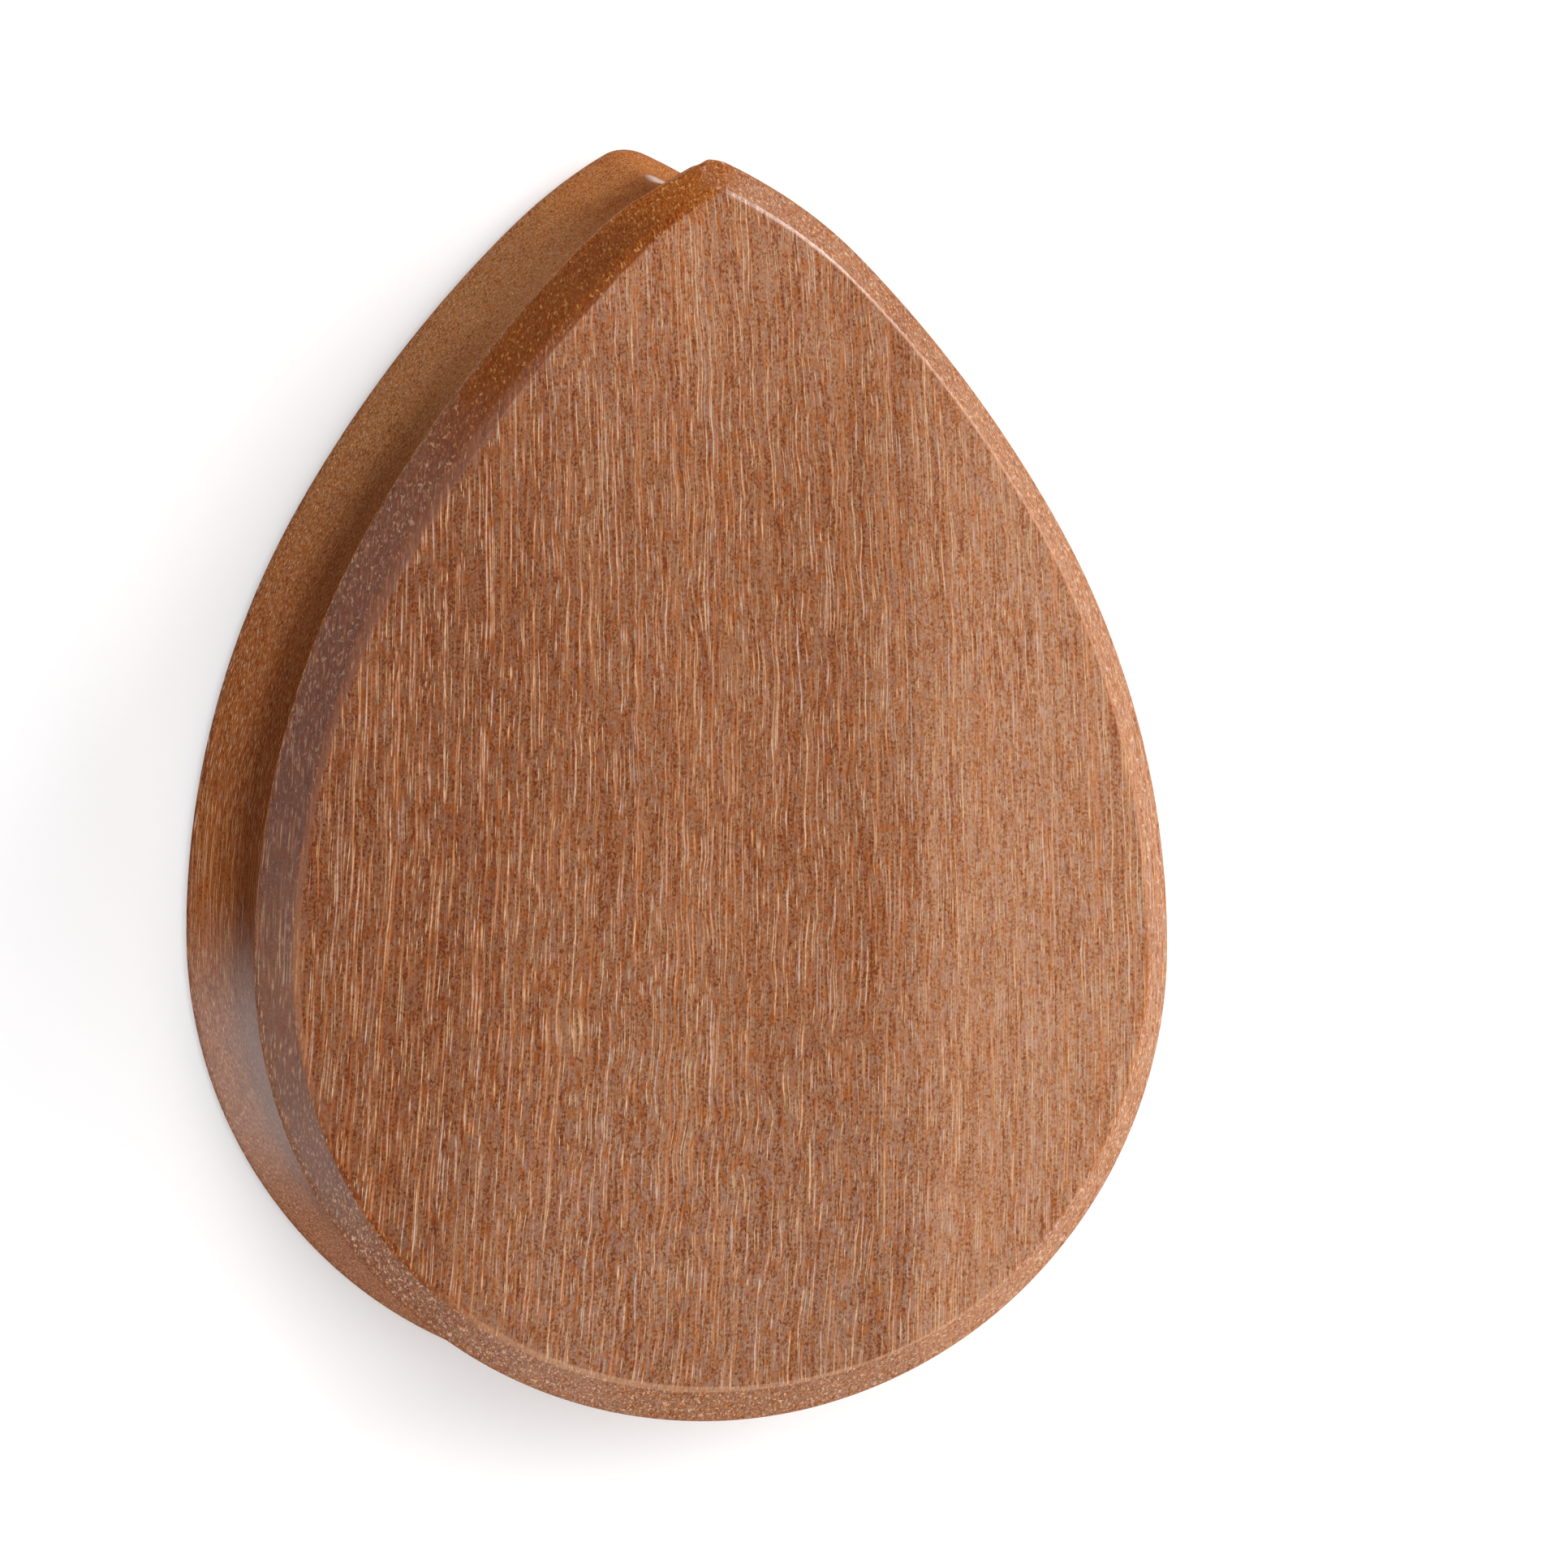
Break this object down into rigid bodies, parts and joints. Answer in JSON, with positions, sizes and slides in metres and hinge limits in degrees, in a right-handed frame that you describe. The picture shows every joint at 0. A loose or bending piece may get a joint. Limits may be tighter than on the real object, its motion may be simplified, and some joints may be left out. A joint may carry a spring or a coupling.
{
  "type": "ear plug",
  "caption": "Solid wooden teardrop ear plug with flat bevelled faces and a concave waist between its flared rims.",
  "frame": {"origin": "centre of the back face, which is the bottom centre of the bounding box", "axes": "+X across the width, +Y from the round end to the tip, +Z along the plug, out of the front face; the plug lies on its back face"},
  "size_m": [0.0302, 0.0408, 0.014],
  "materials": {
    "wood": "oiled and rubbed to a satin gloss"
  },
  "bodies": {
    "root": {"plug": "wood"}
  },
  "joints": []
}
